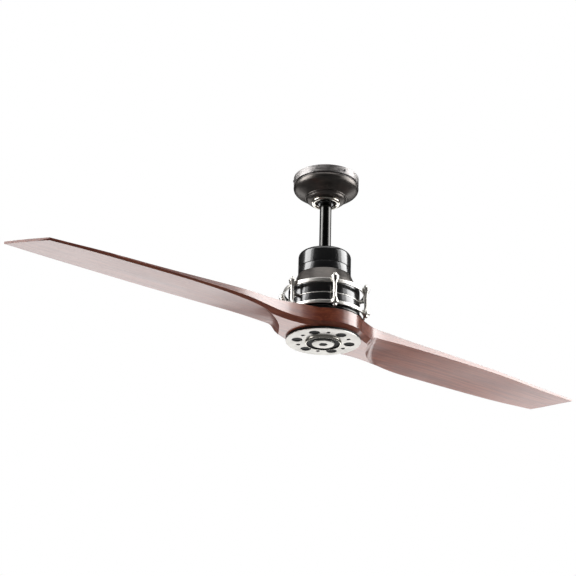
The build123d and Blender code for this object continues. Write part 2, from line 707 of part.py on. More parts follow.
# ---- propeller: one carved piece of laminated mahogany ------------------------------------
WOOD_BOTTOM = 4.6      # underside of the hub, where the plate spacer seats
EDGE_BEVEL = 10.0      # bevel along the hub's and the blade roots' lower edge
TIP_CORNER = (712.0, 60.0)
BUSH_OUTER_R = 15.5

# (distance from the hub, across) on the edge with the higher underside, and on the lower one
HIGH_EDGE = [(110, -46.5), (157, -43.8), (220, -44.4), (300, -46.4), (400, -47.3), (500, -46.6), (600, -41.6),
             (700, -36.8), (TIP_R, -34.6)]
LOW_EDGE = [(120, 54.2), (160, 57.0), (200, 65.0), (240, 73.6), (285, 78.4), (350, 79.4), (430, 78.6),
            (520, 76.0), (600, 72.2), (660, 66.4), TIP_CORNER]

# blade sections: distance, underside height at the two edges, top height at the two edges
SECTIONS = [
    (40, 21.0, 2.6, 45.8, 45.8), (96, 23.0, 3.0, 45.6, 45.4), (130, 24.2, 3.2, 45.4, 40.5),
    (165, 25.6, 3.9, 43.6, 35.2),
    (200, 26.5, 5.2, 41.6, 31.2), (240, 26.5, 7.2, 40.2, 28.6), (290, 26.2, 9.2, 38.6, 26.2),
    (350, 25.8, 10.6, 36.8, 23.6), (430, 25.2, 11.0, 34.8, 20.2), (520, 24.4, 10.4, 32.4, 17.8),
    (620, 22.4, 10.0, 29.6, 16.2), (700, 21.2, 9.7, 27.8, 14.8), (800, 20.2, 9.3, 25.6, 13.2),
]
CROWN = 1.6            # how far the top is crowned and the underside hollowed between the edges
REACH = 100.0          # the cutters reach this far past the blade's middle line


def blade_outline():
    """The blade's outline seen from above, from the hub out to the tip and back."""
    Spline((28.0, -76.0), (56, -68.6), (82, -56.6), *HIGH_EDGE)
    Line(HIGH_EDGE[-1], TIP_CORNER)
    Spline(*LOW_EDGE[::-1], (86, 57.6), (54, 66.0), (28, 76.0))
    Line((28, 76), (28, -76))


def section_line(high_z, low_z, bulge):
    """A cutter's edge across the blade: two heights over the blade's edges, bulged between them."""
    high_t, low_t = -46.0, 70.0
    slope = (low_z - high_z) / (low_t - high_t)
    ends = [(t, high_z + (t - high_t) * slope) for t in (-REACH, (high_t + low_t) / 2, REACH)]
    return ends[0], (ends[1][0], ends[1][1] + bulge), ends[2]


def cutter(top):
    """The wood to carve away above the top of the blade, or below its underside."""
    far_z = up(90.0) if top else up(-30.0)
    with BuildPart() as carved:
        for distance, under_high, under_low, top_high, top_low in SECTIONS[1 if top else 0:]:
            heights = (top_high, top_low) if top else (under_high, under_low)
            first, middle, last = section_line(*heights, CROWN)
            with BuildSketch(Plane(origin=(distance, 0, 0), x_dir=(0, 1, 0), z_dir=(1, 0, 0))):
                with BuildLine():
                    ThreePointArc(
                        (first[0], up(first[1])), (middle[0], up(middle[1])), (last[0], up(last[1])),
                    )
                    Polyline(
                        (last[0], up(last[1])), (REACH, far_z), (-REACH, far_z), (first[0], up(first[1])),
                    )
                make_face()
        loft()
    return carved.part


top_cutter = cutter(True)
under_cutter = cutter(False)

# the underside is carved only past a curved step, which runs across the root at a slant
STEP_SLOPE = 42.0      # degrees that the step leans from upright
STEP_FOOT_R = 18.0     # hollow where the step runs out into the blade
with BuildPart() as root_step:
    with BuildSketch(Plane.XY.offset(up(WOOD_BOTTOM - 2.0))):
        with BuildLine():
            Polyline((54, -90), (54, -200), (900, -200), (900, 96), (250, 96))
            Spline((250, 96), (214, 72), (184, 55), (150, 31), (119, 0), (92, -40), (72, -66), (54, -90))
        make_face()
    extrude(amount=36, taper=STEP_SLOPE)
    add(under_cutter, mode=Mode.INTERSECT)
    step_foot = root_step.edges().filter_by_position(Axis.Z, up(3.5), up(60)).filter_by_position(Axis.X, 60, 252)
    fillet(step_foot.filter_by(lambda edge: edge.length > 50), STEP_FOOT_R)

with BuildPart() as propeller:
    with BuildSketch(Plane.XY.offset(up(WOOD_BOTTOM))):
        Circle(HUB_R)
        for turn in (0, 180):
            with BuildSketch(mode=Mode.PRIVATE) as half:
                with BuildLine():
                    blade_outline()
                make_face()
            add(half.sketch.rotate(Axis.Z, turn))
    extrude(amount=HUB_TOP - WOOD_BOTTOM)
    chamfer(propeller.faces().sort_by(Axis.Z)[0].edges(), EDGE_BEVEL)
    for turn in (0, 180):
        add(top_cutter.rotate(Axis.Z, turn), mode=Mode.SUBTRACT)
        add(root_step.part.rotate(Axis.Z, turn), mode=Mode.SUBTRACT)
    with BuildSketch(Plane.XY.offset(up(WOOD_BOTTOM))):
        Circle(BUSH_OUTER_R)
        with PolarLocations(HOLE_CIRCLE_R, 6, start_angle=HOLE_TURN):
            Circle(BOLT_R)
    extrude(amount=HUB_TOP, mode=Mode.SUBTRACT)
    with BuildSketch(Plane.XY.offset(up(WOOD_BOTTOM))):
        with PolarLocations(HOLE_CIRCLE_R, 6, start_angle=HOLE_TURN):
            RegularPolygon(NUT_POCKET_R, 6)
    extrude(amount=NUT_DEPTH, mode=Mode.SUBTRACT)
    with BuildSketch(Plane.XY.offset(up(HUB_TOP - 2.0))):
        Circle(28)
    extrude(amount=4, mode=Mode.SUBTRACT)
save(propeller.part, "propeller")

# ---- clamping hardware --------------------------------------------------------------------
PLATE_TOP = PLATE_T - PLATE_DROP
CENTRE_HOLE_R = 20.0
with BuildPart() as face_plate:
    with BuildSketch(Plane.XY.offset(up(-PLATE_DROP))):
        Circle(PLATE_R)
        Circle(CENTRE_HOLE_R, mode=Mode.SUBTRACT)
        with PolarLocations(HOLE_CIRCLE_R, 6, start_angle=HOLE_TURN):
            Circle(BOLT_HOLE_R, mode=Mode.SUBTRACT)
        with PolarLocations(HOLE_CIRCLE_R, 6, start_angle=HOLE_TURN + 30):
            Circle(BIG_HOLE_R, mode=Mode.SUBTRACT)
    extrude(amount=PLATE_T)
    chamfer(face_plate.faces().sort_by(Axis.Z)[0].edges(), 0.3)
save(face_plate.part, "face_plate")

# a black disc between the plate and the wood, which closes the plate's large holes from behind
with BuildPart() as plate_spacer:
    with BuildSketch(Plane.XY.offset(up(PLATE_TOP))):
        Circle(PLATE_R - 0.3)
        Circle(CENTRE_HOLE_R, mode=Mode.SUBTRACT)
        with PolarLocations(HOLE_CIRCLE_R, 6, start_angle=HOLE_TURN):
            Circle(BOLT_HOLE_R, mode=Mode.SUBTRACT)
    extrude(amount=WOOD_BOTTOM - PLATE_TOP)
save(plate_spacer.part, "plate_spacer")

BUSH_BORE_R = 12.0
save(ring(BUSH_OUTER_R, BUSH_BORE_R, up(WOOD_BOTTOM), up(CARRIER[0])), "hub_bush")

BOSS_FOOT_R = 41.0
BOSS_LIP_R = 39.2
BOSS_BOTTOM = -6.6
GROOVE_FLOOR = -3.4
CAP_R = 25.0
BOSS_BORE_R = 13.0
LIP_INNER_R = BOSS_LIP_R - 1.8
with BuildPart() as hub_boss:
    with BuildSketch(Plane.XZ):
        with BuildLine():
            Polyline(
                (BOSS_BORE_R, up(-PLATE_DROP)), (BOSS_FOOT_R, up(-PLATE_DROP)), (BOSS_FOOT_R, up(-PLATE_DROP - 1)),
                (BOSS_LIP_R, up(BOSS_BOTTOM + 0.5)), (BOSS_LIP_R - 0.6, up(BOSS_BOTTOM)),
                (LIP_INNER_R + 0.6, up(BOSS_BOTTOM)), (LIP_INNER_R, up(BOSS_BOTTOM + 0.6)),
                (LIP_INNER_R, up(GROOVE_FLOOR)), (BOSS_BORE_R, up(GROOVE_FLOOR)), close=True,
            )
        make_face()
    revolve(axis=Axis.Z)
    with BuildSketch(Plane.XY.offset(up(-PLATE_DROP))):
        Circle(CENTRE_HOLE_R - 0.1)
        Circle(BOSS_BORE_R, mode=Mode.SUBTRACT)
    extrude(amount=WOOD_BOTTOM + PLATE_DROP)
save(hub_boss.part, "hub_boss")

# a black liner covers the floor and the outer wall of the groove round the cap
LINER_T = 0.8
with BuildPart() as groove_ring:
    with BuildSketch(Plane.XZ):
        with BuildLine():
            Polyline(
                (CAP_R, up(GROOVE_FLOOR)), (LIP_INNER_R, up(GROOVE_FLOOR)), (LIP_INNER_R, up(BOSS_BOTTOM + 0.8)),
                (LIP_INNER_R - LINER_T, up(BOSS_BOTTOM + 0.8)), (LIP_INNER_R - LINER_T, up(GROOVE_FLOOR - LINER_T)),
                (CAP_R, up(GROOVE_FLOOR - LINER_T)), close=True,
            )
        make_face()
    revolve(axis=Axis.Z)
save(groove_ring.part, "groove_ring")

CAP_T = 4.0
SOCKET_ACROSS = 18.0
SOCKET_DEPTH = 9.0
PLUG_INSET = 0.8
with BuildPart() as centre_cap:
    with BuildSketch(Plane.XY.offset(up(GROOVE_FLOOR))):
        Circle(CAP_R)
    extrude(amount=-CAP_T)
    fillet(centre_cap.faces().sort_by(Axis.Z)[0].edges(), 1.4)
    with BuildSketch(Plane.XY.offset(up(GROOVE_FLOOR))):
        Circle(BUSH_BORE_R)
    extrude(amount=33)
    with BuildSketch(Plane.XY.offset(up(GROOVE_FLOOR - CAP_T))):
        RegularPolygon(SOCKET_ACROSS / 2, 6, major_radius=False, rotation=30)
    extrude(amount=SOCKET_DEPTH, mode=Mode.SUBTRACT)
save(centre_cap.part, "centre_cap")

with BuildPart() as cap_plug:
    with BuildSketch(Plane.XY.offset(up(GROOVE_FLOOR - CAP_T + PLUG_INSET))):
        RegularPolygon(SOCKET_ACROSS / 2 - 0.05, 6, major_radius=False, rotation=30)
    extrude(amount=SOCKET_DEPTH - PLUG_INSET)
save(cap_plug.part, "cap_plug")

with BuildPart() as clamp_bolt:
    bolt_top = Plane.XY.offset(up(CARRIER[1]))
    with BuildSketch(bolt_top):
        with Locations((HOLE_CIRCLE_R, 0)):
            RegularPolygon(5.6, 6)
    extrude(amount=4.0)
    with BuildSketch(bolt_top):
        with Locations((HOLE_CIRCLE_R, 0)):
            Circle(BOLT_R)
    extrude(amount=-(CARRIER[1] - 9.0))
save(around(clamp_bolt.part, 6, HOLE_TURN), "clamp_bolts")

with BuildPart() as clamp_nut:
    with BuildSketch(Plane.XY.offset(up(WOOD_BOTTOM))):
        with Locations((HOLE_CIRCLE_R, 0)):
            RegularPolygon(NUT_POCKET_R, 6)
            Circle(BOLT_R, mode=Mode.SUBTRACT)
    extrude(amount=NUT_DEPTH)
save(around(clamp_nut.part, 6, HOLE_TURN), "clamp_nuts")
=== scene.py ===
"""Ceiling fan with a carved wooden propeller: looks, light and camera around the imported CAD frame."""
import json
import math

import bmesh
import bpy
from mathutils import Matrix, Vector


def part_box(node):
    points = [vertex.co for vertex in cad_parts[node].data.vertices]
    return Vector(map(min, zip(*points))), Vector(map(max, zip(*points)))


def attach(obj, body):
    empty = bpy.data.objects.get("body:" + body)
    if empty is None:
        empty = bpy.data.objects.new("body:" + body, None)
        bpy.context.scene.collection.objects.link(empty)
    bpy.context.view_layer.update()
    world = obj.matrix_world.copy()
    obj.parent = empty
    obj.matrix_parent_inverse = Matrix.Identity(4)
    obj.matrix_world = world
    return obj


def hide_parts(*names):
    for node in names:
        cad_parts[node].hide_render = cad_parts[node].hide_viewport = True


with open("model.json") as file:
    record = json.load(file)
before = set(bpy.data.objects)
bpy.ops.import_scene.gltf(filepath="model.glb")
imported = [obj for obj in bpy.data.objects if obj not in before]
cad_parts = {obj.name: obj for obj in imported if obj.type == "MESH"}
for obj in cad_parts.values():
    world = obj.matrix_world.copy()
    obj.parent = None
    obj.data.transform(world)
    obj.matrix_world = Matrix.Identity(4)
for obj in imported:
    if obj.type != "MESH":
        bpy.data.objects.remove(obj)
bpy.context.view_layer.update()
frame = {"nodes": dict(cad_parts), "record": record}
MM = 0.001
FULL_TURN = 2 * math.pi


# ---- node trees ---------------------------------------------------------------------------
class Web:
    """A node tree with short calls: add makes a node and fills or links its inputs."""

    def __init__(self, tree):
        self.tree = tree

    def add(self, kind, settings=None, **inputs):
        node = self.tree.nodes.new(kind)
        for name, value in (settings or {}).items():
            setattr(node, name, value)
        for name, value in inputs.items():
            self.fill(node, name, value)
        return node

    def fill(self, node, name, value):
        key = int(name[1:]) if name[0] == "i" and name[1:].isdigit() else name.replace("_", " ")
        socket = node.inputs[key]
        if isinstance(value, bpy.types.NodeSocket):
            self.tree.links.new(value, socket)
        else:
            socket.default_value = value

    def math(self, operation, a, b=0.0):
        return self.add("ShaderNodeMath", {"operation": operation}, i0=a, i1=b).outputs[0]

    def mix(self, factor, a, b):
        return self.add("ShaderNodeMix", {"data_type": "RGBA"}, i0=factor, i6=a, i7=b).outputs[2]

    def band(self, value, low, high, out_low=0.0, out_high=1.0):
        """Maps low..high to out_low..out_high with a soft start and end."""
        return self.add(
            "ShaderNodeMapRange", {"interpolation_type": "SMOOTHSTEP"},
            i0=value, i1=low, i2=high, i3=out_low, i4=out_high,
        ).outputs[0]

    def noise(self, vector, scale, detail=3.0, roughness=0.5, distortion=0.0):
        return self.add(
            "ShaderNodeTexNoise", Vector=vector, Scale=scale, Detail=detail,
            Roughness=roughness, Distortion=distortion,
        ).outputs[0]

    def stretched(self, vector, scale, rotation=(0, 0, 0)):
        return self.add("ShaderNodeMapping", Vector=vector, Scale=scale, Rotation=rotation).outputs[0]


def group(name, inputs, outputs, build):
    """A shader node group: inputs are name: default, outputs are name: socket kind."""
    tree = bpy.data.node_groups.new(name, "ShaderNodeTree")
    for label, default in inputs.items():
        kind = "NodeSocketColor" if isinstance(default, tuple) else "NodeSocketFloat"
        socket = tree.interface.new_socket(name=label, in_out="INPUT", socket_type=kind)
        socket.default_value = default
    for label, kind in outputs.items():
        tree.interface.new_socket(name=label, in_out="OUTPUT", socket_type="NodeSocket" + kind)
    web = Web(tree)
    given = web.add("NodeGroupInput").outputs
    place = web.add("ShaderNodeTexCoord").outputs["Object"]
    made = build(web, given, place)
    out = web.add("NodeGroupOutput")
    for label, socket in made.items():
        tree.links.new(socket, out.inputs[label])
    return tree


def build_grain(web, given, place):
    """Mahogany: long figure and fine pores along X, with the laminations showing as faint layers in Z."""
    figure = web.noise(web.stretched(place, (1.6, 22, 30)), 1.4, 5, 0.62, 0.5)
    streaks = web.noise(web.stretched(place, (3.5, 150, 170)), 1.3, 4, 0.6)
    pores = web.noise(web.stretched(place, (34, 1500, 1700)), 1.0, 2, 0.5)
    height = web.add("ShaderNodeSeparateXYZ", Vector=place).outputs[2]
    layer = web.math("DIVIDE", height, given["Layer"])
    board = web.math("FLOOR", layer)
    tone = web.add("ShaderNodeTexWhiteNoise", {"noise_dimensions": "1D"}, W=board).outputs[0]
    joint = web.band(web.math("ABSOLUTE", web.math("SUBTRACT", web.math("FRACT", layer), 0.5)), 0.47, 0.5)
    pore_mask = web.band(pores, 0.60, 0.70)
    dark = web.mix(web.band(figure, 0.30, 0.70), given["Dark"], given["Mid"])
    colour = web.mix(web.math("MULTIPLY", web.band(streaks, 0.42, 0.68), 0.55), dark, given["Light"])
    colour = web.mix(web.math("MULTIPLY", tone, 0.16), colour, given["Light"])
    colour = web.mix(web.math("MULTIPLY", pore_mask, 0.45), colour, given["Pore"])
    colour = web.mix(web.math("MULTIPLY", joint, 0.28), colour, given["Pore"])
    return {"Colour": colour, "Pores": pore_mask}


def build_wear(web, given, place):
    """Slow clouding and two sets of fine scratches in the roughness, with a fine ripple as Peel."""
    cloud = web.noise(place, 26, 3, 0.55)
    scratch_a = web.noise(web.stretched(place, (1400, 60, 90), (0.3, 0.5, 0.8)), 1.0, 2, 0.5)
    scratch_b = web.noise(web.stretched(place, (70, 1200, 110), (0.9, 0.2, 1.9)), 1.0, 2, 0.5)
    scratches = web.math("MAXIMUM", web.band(scratch_a, 0.66, 0.74), web.band(scratch_b, 0.66, 0.74))
    peel = web.noise(place, 420, 2, 0.5)
    clouding = web.math("MULTIPLY", web.math("SUBTRACT", cloud, 0.5), given["Clouding"])
    rough = web.math("ADD", given["Base"], clouding)
    rough = web.math("ADD", rough, web.math("MULTIPLY", scratches, given["Scratches"]))
    return {"Roughness": rough, "Cloud": cloud, "Peel": peel}


def build_turned(web, given, place):
    """Streaks that run round the fan's axis, as on spun and brushed sheet."""
    axes = web.add("ShaderNodeSeparateXYZ", Vector=place).outputs
    angle = web.math("ARCTAN2", axes[1], axes[0])
    x_squared = web.math("MULTIPLY", axes[0], axes[0])
    y_squared = web.math("MULTIPLY", axes[1], axes[1])
    radius = web.math("SQRT", web.math("ADD", x_squared, y_squared))
    around = web.add(
        "ShaderNodeCombineXYZ", X=web.math("MULTIPLY", web.math("SINE", angle), given["Around"]),
        Y=web.math("MULTIPLY", web.math("COSINE", angle), given["Around"]),
        Z=web.math("MULTIPLY", web.math("ADD", axes[2], radius), given["Across"]),
    ).outputs[0]
    return {"Fine": web.noise(around, 3.0, 5, 0.62)}


GRAIN = group(
    "mahogany_grain",
    {
        "Layer": 0.0095, "Dark": (0.1, 0.03, 0.02, 1), "Mid": (0.2, 0.06, 0.04, 1),
        "Light": (0.3, 0.1, 0.06, 1), "Pore": (0.05, 0.01, 0.01, 1),
    },
    {"Colour": "Color", "Pores": "Float"}, build_grain,
)
WEAR = group(
    "surface_wear", {"Base": 0.2, "Clouding": 0.1, "Scratches": 0.15},
    {"Roughness": "Float", "Cloud": "Float", "Peel": "Float"}, build_wear,
)
TURNED = group("turned_streaks", {"Around": 1.0, "Across": 160.0}, {"Fine": "Float"}, build_turned)


def material(name, recipe, **sockets):
    """A material: uniform sockets are set here, and recipe(web, shader) adds what varies."""
    made = bpy.data.materials.new(name)
    made.use_nodes = True
    web = Web(made.node_tree)
    shader = made.node_tree.nodes["Principled BSDF"]
    for label, value in sockets.items():
        shader.inputs[label.replace("_", " ")].default_value = value
    recipe(web, shader)
    return made


def use(web, tree, **inputs):
    node = web.add("ShaderNodeGroup", {"node_tree": tree}, **inputs)
    return node.outputs


def bump(web, shader, height, strength, distance):
    made = web.add("ShaderNodeBump", Height=height, Strength=strength, Distance=distance)
    web.fill(shader, "Normal", made.outputs[0])


def varnished_wood(web, shader):
    grain = use(
        web, GRAIN, Layer=0.0098, Dark=(0.112, 0.020, 0.010, 1), Mid=(0.178, 0.038, 0.019, 1),
        Light=(0.29, 0.082, 0.034, 1), Pore=(0.040, 0.008, 0.005, 1),
    )
    wear = use(web, WEAR, Base=0.34, Clouding=0.10, Scratches=0.05)
    web.fill(shader, "Base Color", grain["Colour"])
    rough_pores = web.math("MULTIPLY", grain["Pores"], 0.12)
    web.fill(shader, "Roughness", web.math("ADD", wear["Roughness"], rough_pores))
    sunk_pores = web.math("MULTIPLY", grain["Pores"], -0.25)
    lumps = web.math("ADD", sunk_pores, web.math("MULTIPLY", wear["Peel"], 0.35))
    bump(web, shader, lumps, 0.10, 0.0004)


def metal(colour, tint, base, clouding, scratches, around=1.2, across=260.0, streak=0.0, peel=0.04):
    """A recipe for plated or bare metal; streak is how strongly the turned marks show."""
    def recipe(web, shader):
        wear = use(web, WEAR, Base=base, Clouding=clouding, Scratches=scratches)
        turned = use(web, TURNED, Around=around, Across=across)
        marks = web.band(turned["Fine"], 0.35, 0.65)
        shade = web.mix(web.band(wear["Cloud"], 0.35, 0.65, 0.0, 0.35), colour, tint)
        shade = web.mix(web.math("MULTIPLY", marks, streak), shade, tint)
        web.fill(shader, "Base Color", shade)
        rough = web.math("ADD", wear["Roughness"], web.math("MULTIPLY", marks, streak * 0.25))
        web.fill(shader, "Roughness", rough)
        ripple = web.math("MULTIPLY", wear["Peel"], peel)
        lumps = web.math("ADD", web.math("MULTIPLY", turned["Fine"], streak), ripple)
        bump(web, shader, lumps, 0.12, 0.0003)
    return recipe


def moulded(colour, tint, base):
    """A recipe for paint, rubber and moulded plastic."""
    def recipe(web, shader):
        wear = use(web, WEAR, Base=base, Clouding=0.08, Scratches=0.08)
        web.fill(shader, "Base Color", web.mix(web.band(wear["Cloud"], 0.3, 0.7), colour, tint))
        web.fill(shader, "Roughness", wear["Roughness"])
        bump(web, shader, wear["Peel"], 0.05, 0.0003)
    return recipe


def wound_wire(web, shader):
    """Enamelled copper: close turns of wire across each coil."""
    place = web.add("ShaderNodeTexCoord").outputs["Object"]
    wires = web.add(
        "ShaderNodeTexWave", {"wave_type": "RINGS", "rings_direction": "Z"}, Vector=place, Scale=320.0,
        Distortion=0.4, Detail=1.0,
    ).outputs[1]
    wear = use(web, WEAR, Base=0.28, Clouding=0.1, Scratches=0.0)
    web.fill(shader, "Base Color", web.mix(wires, (0.22, 0.06, 0.02, 1), (0.62, 0.24, 0.10, 1)))
    web.fill(shader, "Roughness", wear["Roughness"])
    bump(web, shader, wires, 0.5, 0.0005)


FINISHES = {
    "varnished_wood": material(
        "varnished_mahogany", varnished_wood, Coat_Weight=1.0, Coat_Roughness=0.17, Coat_IOR=1.52,
        Specular_IOR_Level=0.35,
    ),
    "bright_nickel": material(
        "bright_nickel_plate",
        metal((0.74, 0.72, 0.68, 1), (0.62, 0.60, 0.56, 1), 0.38, 0.10, 0.10, streak=0.10),
        Metallic=1.0,
    ),
    "gloss_black": material(
        "gloss_black_enamel", moulded((0.005, 0.005, 0.006, 1), (0.009, 0.009, 0.009, 1), 0.30),
        Coat_Weight=1.0, Coat_Roughness=0.10, Coat_IOR=1.55, Specular_IOR_Level=0.25,
    ),
    "polished_nickel": material(
        "polished_nickel_plate",
        metal((0.70, 0.67, 0.60, 1), (0.58, 0.55, 0.49, 1), 0.13, 0.05, 0.08, streak=0.04),
        Metallic=1.0,
    ),
    "smoked_nickel": material(
        "smoked_nickel_plate",
        metal((0.060, 0.059, 0.057, 1), (0.040, 0.039, 0.037, 1), 0.16, 0.06, 0.08, streak=0.05),
        Metallic=1.0,
    ),
    "gunmetal": material(
        "gunmetal_plate",
        metal((0.085, 0.079, 0.074, 1), (0.17, 0.150, 0.137, 1), 0.32, 0.12, 0.10, streak=0.35),
        Metallic=1.0,
    ),
    "antique_silver": material(
        "antique_silver_plate",
        metal(
            (0.055, 0.052, 0.053, 1), (0.42, 0.40, 0.39, 1), 0.36, 0.15, 0.12,
            around=1.6, across=420.0, streak=0.9,
        ),
        Metallic=1.0,
    ),
    "dark_steel": material(
        "black_oxide_steel", metal((0.06, 0.06, 0.06, 1), (0.14, 0.13, 0.12, 1), 0.35, 0.12, 0.15),
        Metallic=1.0,
    ),
    "zinc_steel": material(
        "zinc_plated_steel", metal((0.62, 0.62, 0.60, 1), (0.48, 0.50, 0.50, 1), 0.36, 0.14, 0.14),
        Metallic=1.0,
    ),
    "cast_metal": material(
        "die_cast_metal", metal((0.46, 0.46, 0.46, 1), (0.34, 0.34, 0.34, 1), 0.48, 0.12, 0.08, peel=0.5),
        Metallic=1.0,
    ),
    "bearing_steel": material(
        "ground_bearing_steel", metal((0.72, 0.72, 0.73, 1), (0.60, 0.60, 0.62, 1), 0.14, 0.06, 0.08),
        Metallic=1.0,
    ),
    "core_steel": material(
        "laminated_core_steel",
        metal(
            (0.26, 0.26, 0.27, 1), (0.16, 0.16, 0.16, 1), 0.42, 0.10, 0.05,
            around=0.2, across=2600.0, streak=0.8,
        ),
        Metallic=1.0,
    ),
    "copper": material(
        "enamelled_copper_wire", wound_wire, Metallic=0.9, Coat_Weight=0.6, Coat_Roughness=0.2,
    ),
    "black_plastic": material(
        "moulded_black_plastic", moulded((0.006, 0.006, 0.006, 1), (0.010, 0.010, 0.010, 1), 0.55),
        Specular_IOR_Level=0.12,
    ),
    "rubber": material("matt_rubber", moulded((0.014, 0.014, 0.014, 1), (0.028, 0.027, 0.026, 1), 0.72)),
}

SLOT_OF = {row["node"]: row["material_slot"] for row in frame["record"]["subparts"]}
BODY_OF = {node: body for body, nodes in frame["record"]["behaviour"]["bodies"].items() for node in nodes}


# ---- pieces -------------------------------------------------------------------------------
# Angles in degrees, gaps in metres, and lengths in the lathe's rows in mm.
CREASE_ANGLE = 30         # between two faces of a dressed piece that still meet in a sharp edge
TURNED_CREASE_ANGLE = 35  # the same on a turned piece
BEVEL_ANGLE = 28          # between two faces whose edge gets rounded
BEVEL_SEGMENTS = 2
WELD_GAP = 2e-6           # corners of the loose CAD triangles this close are one corner
SLIVER_GAP = 1e-6
LATHE_STEPS = 192
CORNER_STEPS = 4
WIDE_CORNER = 5
WIDE_CORNER_STEPS = 10
ROD_R = 13.35
ROD_CLEARANCE = 1.2       # between the downrod and the hole that it passes through
HOUSING_OPENING_R = 34.0  # through the housing's ring and the skirt
EDGE_ROUNDING = {"propeller": 0.0009, "face_plate": 0.0003, "centre_cap": 0.0003, "tension_lugs": 0.0003}
TURNED_NODES = {
    "canopy_rim", "top_housing", "housing_ring", "housing_skirt", "drum_upper", "drum_band", "drum_lower",
    "upper_hoop", "lower_hoop", "blade_carrier", "hub_gasket", "hub_boss", "groove_ring", "downrod",
}


def smooth(mesh, sharp_angle):
    """Smooth shading, with creases kept where faces meet at more than sharp_angle degrees."""
    mesh.polygons.foreach_set("use_smooth", [True] * len(mesh.polygons))
    mesh.set_sharp_from_angle(angle=math.radians(sharp_angle))
    mesh.update()


def finish_piece(mesh, name, node):
    """Makes the object, gives it its finish, and sets it on the body of the CAD node that it stands for."""
    piece = bpy.data.objects.new(name, mesh)
    bpy.context.scene.collection.objects.link(piece)
    mesh.materials.clear()
    mesh.materials.append(FINISHES[SLOT_OF[node]])
    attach(piece, BODY_OF[node])
    return piece


def round_edges(piece, width):
    rounding = piece.modifiers.new("rounded_edges", "BEVEL")
    rounding.width = width
    rounding.segments = BEVEL_SEGMENTS
    rounding.limit_method = "ANGLE"
    rounding.angle_limit = math.radians(BEVEL_ANGLE)
    rounding.harden_normals = True
    rounding.use_clamp_overlap = True


def dress(node):
    """A merged and smooth copy of a CAD node's own shape; the nodes in EDGE_ROUNDING get rounded edges."""
    name = node + "_finished"
    mesh = frame["nodes"][node].data.copy()
    mesh.name = name
    solid = bmesh.new()
    solid.from_mesh(mesh)
    bmesh.ops.remove_doubles(solid, verts=solid.verts, dist=WELD_GAP)
    bmesh.ops.dissolve_degenerate(solid, edges=solid.edges, dist=SLIVER_GAP)
    solid.to_mesh(mesh)
    solid.free()
    if "custom_normal" in mesh.attributes:
        mesh.attributes.remove(mesh.attributes["custom_normal"])
    smooth(mesh, CREASE_ANGLE)
    piece = finish_piece(mesh, name, node)
    if node in EDGE_ROUNDING:
        round_edges(piece, EDGE_ROUNDING[node])
    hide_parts(node)


def lathe(node, rows):
    """A piece turned about the fan's axis; rows are (radius, height, corner radius) round its section."""
    name = node + "_turned"
    shape = bmesh.new()
    points = [shape.verts.new((radius * MM, 0, z * MM)) for radius, z, corner in rows]
    for start, end in zip(points, points[1:] + points[:1]):
        shape.edges.new((start, end))
    for point, (radius, z, corner) in zip(points, rows):
        if corner:
            bmesh.ops.bevel(
                shape, geom=[point], offset=corner * MM, offset_type="OFFSET",
                segments=CORNER_STEPS if corner < WIDE_CORNER else WIDE_CORNER_STEPS,
                profile=0.5, affect="VERTICES", material=-1, clamp_overlap=True,
            )
    bmesh.ops.spin(
        shape, geom=shape.verts[:] + shape.edges[:], cent=(0, 0, 0), axis=(0, 0, 1), angle=FULL_TURN,
        steps=LATHE_STEPS, use_merge=True,
    )
    bmesh.ops.remove_doubles(shape, verts=shape.verts, dist=SLIVER_GAP)
    bmesh.ops.recalc_face_normals(shape, faces=shape.faces)
    mesh = bpy.data.meshes.new(name)
    shape.to_mesh(mesh)
    shape.free()
    smooth(mesh, TURNED_CREASE_ANGLE)
    piece = finish_piece(mesh, name, node)
    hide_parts(node)


def extent(node):
    """A round node's lowest and highest level and its outer radius, in mm."""
    low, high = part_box(node)
    return low.z / MM, high.z / MM, high.x / MM


def turned_canopy_rim():
    """The canopy's upper ring: a rounded band, and below it the thin lip that the bowl pushes over."""
    low, high, radius = extent("canopy_rim")
    bore, lip_r, band_foot = 70.0, 71.6, -18.0
    lathe("canopy_rim", [
        (bore, high, 0.3), (radius, high, 0.8), (radius, band_foot, 2.6), (lip_r, band_foot, 0.3),
        (lip_r, low, 0.4), (bore, low, 0.3),
    ])


def turned_housing():
    """The top housing, a cup with a wide shoulder, and the ring that closes it below."""
    low, high, radius = extent("top_housing")
    wall, shoulder = 1.6, 10.5
    hole = ROD_R + ROD_CLEARANCE
    inner = radius - wall
    lathe("top_housing", [
        (hole, high, 0.3), (radius, high, shoulder), (radius, low, 0.7), (inner, low, 0.3),
        (inner, high - wall, 8.9), (hole, high - wall, 0.3),
    ])
    low, high, radius = extent("housing_ring")
    ring_wall = 2
    inner, floor = radius - ring_wall, low + ring_wall
    lathe("housing_ring", [
        (radius, high, 0.7), (radius, low, 0.5), (HOUSING_OPENING_R, low, 0.2),
        (HOUSING_OPENING_R, floor, 0.2), (inner, floor, 0.3), (inner, high, 0.2),
    ])


def turned_skirt():
    """The cone below the top housing, with a flange at its foot."""
    low, high, radius = extent("housing_skirt")
    top_r, foot_r, foot_z = 60.3, 72.4, low + 6
    flange, bore = low + 2, 71.0
    roof = high - 1.8
    lathe("housing_skirt", [
        (HOUSING_OPENING_R, high, 0.2), (top_r, high, 1.0), (foot_r, foot_z, 1.5), (foot_r + 1, flange, 0.4),
        (radius, flange, 0.6), (radius, low, 0.3), (bore, low, 0.2), (foot_r - 1.8, foot_z, 1.0),
        (top_r - 1.3, roof, 0.8), (HOUSING_OPENING_R, roof, 0.2),
    ])


